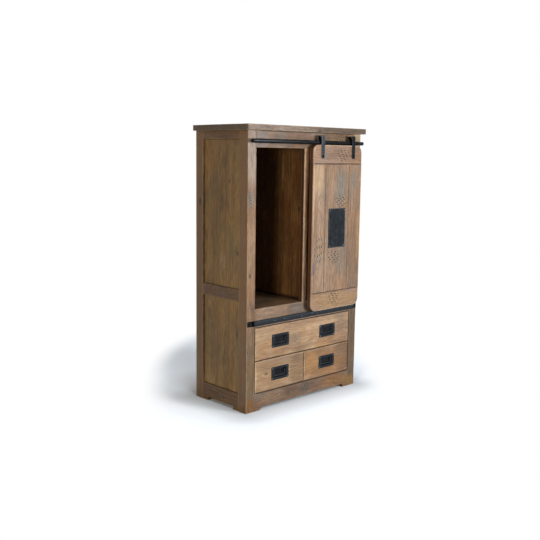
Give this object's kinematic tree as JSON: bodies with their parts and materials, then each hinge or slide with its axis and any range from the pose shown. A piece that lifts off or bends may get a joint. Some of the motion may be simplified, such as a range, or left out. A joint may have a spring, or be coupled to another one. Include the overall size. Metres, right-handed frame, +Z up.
{
  "type": "highboard",
  "caption": "Tall cabinet of rustic solid wood with an open compartment, a barn door that rolls on a round rail, and drawers with recessed bail pulls.",
  "frame": {"origin": "on the floor, under the centre of the bounding box", "axes": "+Z up; the front with the door and the drawers faces -Y; +X is to the right of someone who looks at the front"},
  "size_m": [0.9, 0.472, 1.5],
  "materials": {
    "front_wood": "waxed",
    "side_wood": "waxed",
    "inner_wood": "raw",
    "black_iron": "satin black",
    "worn_iron": "worn satin black",
    "nylon": "matt"
  },
  "bodies": {
    "carcase": {"top_slab": "front_wood", "front_post_left": "front_wood", "front_post_right": "front_wood", "back_post_left": "side_wood", "back_post_right": "side_wood", "side_top_rail_left": "side_wood", "side_top_rail_right": "side_wood", "side_mid_rail_left": "side_wood", "side_mid_rail_right": "side_wood", "side_apron_left": "side_wood", "side_apron_right": "side_wood", "side_panels_left": "side_wood", "side_panels_right": "side_wood", "front_top_rail": "front_wood", "front_mid_rail": "front_wood", "front_apron": "front_wood", "mullion": "front_wood", "back_rails": "inner_wood", "back_panels": "inner_wood", "compartment_floor": "inner_wood", "centre_divider": "inner_wood", "drawer_web": "inner_wood", "bottom_board": "inner_wood", "drawer_partition": "inner_wood", "drawer_battens": "inner_wood", "rail_rod": "black_iron", "rod_standoffs": "black_iron", "guide_channel": "worn_iron", "guide_end_plates": "black_iron", "guide_bolts": "worn_iron"},
    "door": {"door_top_rail": "front_wood", "door_bottom_rail": "front_wood", "door_plank_left": "front_wood", "door_plank_middle": "front_wood", "door_plank_right": "front_wood", "door_plate": "black_iron", "plate_rivets": "worn_iron", "hanger_left": "worn_iron", "hanger_right": "worn_iron", "hanger_bolts": "black_iron", "guide_shoes": "nylon"},
    "wheel_left": {"wheel_left": "black_iron"},
    "wheel_right": {"wheel_right": "black_iron"},
    "top_drawer": {"top_drawer_front": "front_wood", "top_drawer_walls": "inner_wood", "top_drawer_bottom": "inner_wood", "pull_top_left": "black_iron", "pull_top_right": "black_iron"},
    "left_drawer": {"left_drawer_front": "front_wood", "left_drawer_walls": "inner_wood", "left_drawer_bottom": "inner_wood", "pull_lower_left": "black_iron"},
    "right_drawer": {"right_drawer_front": "front_wood", "right_drawer_walls": "inner_wood", "right_drawer_bottom": "inner_wood", "pull_lower_right": "black_iron"},
    "bail_top_left": {"bail_top_left": "worn_iron"},
    "bail_top_right": {"bail_top_right": "worn_iron"},
    "bail_lower_left": {"bail_lower_left": "worn_iron"},
    "bail_lower_right": {"bail_lower_right": "worn_iron"}
  },
  "joints": [
    {"name": "door_slide", "type": "slide", "parent": "carcase", "child": "door", "axis": [1, 0, 0], "range_m": [-0.3955, 0]},
    {"name": "wheel_left_roll", "type": "hinge", "parent": "door", "child": "wheel_left", "pos_m": [0.07375, -0.212, 1.4378], "axis": [0, 1, 0], "range_deg": [-2210, 5]},
    {"name": "wheel_right_roll", "type": "hinge", "parent": "door", "child": "wheel_right", "pos_m": [0.32175, -0.212, 1.4378], "axis": [0, 1, 0], "range_deg": [-2210, 5]},
    {"name": "top_drawer_slide", "type": "slide", "parent": "carcase", "child": "top_drawer", "axis": [0, -1, 0], "range_m": [0, 0.28]},
    {"name": "left_drawer_slide", "type": "slide", "parent": "carcase", "child": "left_drawer", "axis": [0, -1, 0], "range_m": [0, 0.28]},
    {"name": "right_drawer_slide", "type": "slide", "parent": "carcase", "child": "right_drawer", "axis": [0, -1, 0], "range_m": [0, 0.28]},
    {"name": "bail_top_left_swing", "type": "hinge", "parent": "top_drawer", "child": "bail_top_left", "pos_m": [-0.18375, -0.182, 0.37575], "axis": [-1, 0, 0], "range_deg": [0, 85]},
    {"name": "bail_top_right_swing", "type": "hinge", "parent": "top_drawer", "child": "bail_top_right", "pos_m": [0.18375, -0.182, 0.37575], "axis": [-1, 0, 0], "range_deg": [0, 85]},
    {"name": "bail_lower_left_swing", "type": "hinge", "parent": "left_drawer", "child": "bail_lower_left", "pos_m": [-0.18375, -0.182, 0.19575], "axis": [-1, 0, 0], "range_deg": [0, 85]},
    {"name": "bail_lower_right_swing", "type": "hinge", "parent": "right_drawer", "child": "bail_lower_right", "pos_m": [0.18375, -0.182, 0.19575], "axis": [-1, 0, 0], "range_deg": [0, 85]}
  ],
  "couplings": [
    {"joint": "wheel_left_roll", "follows": "door_slide", "rad_per_m": 97.087},
    {"joint": "wheel_right_roll", "follows": "door_slide", "rad_per_m": 97.087}
  ]
}
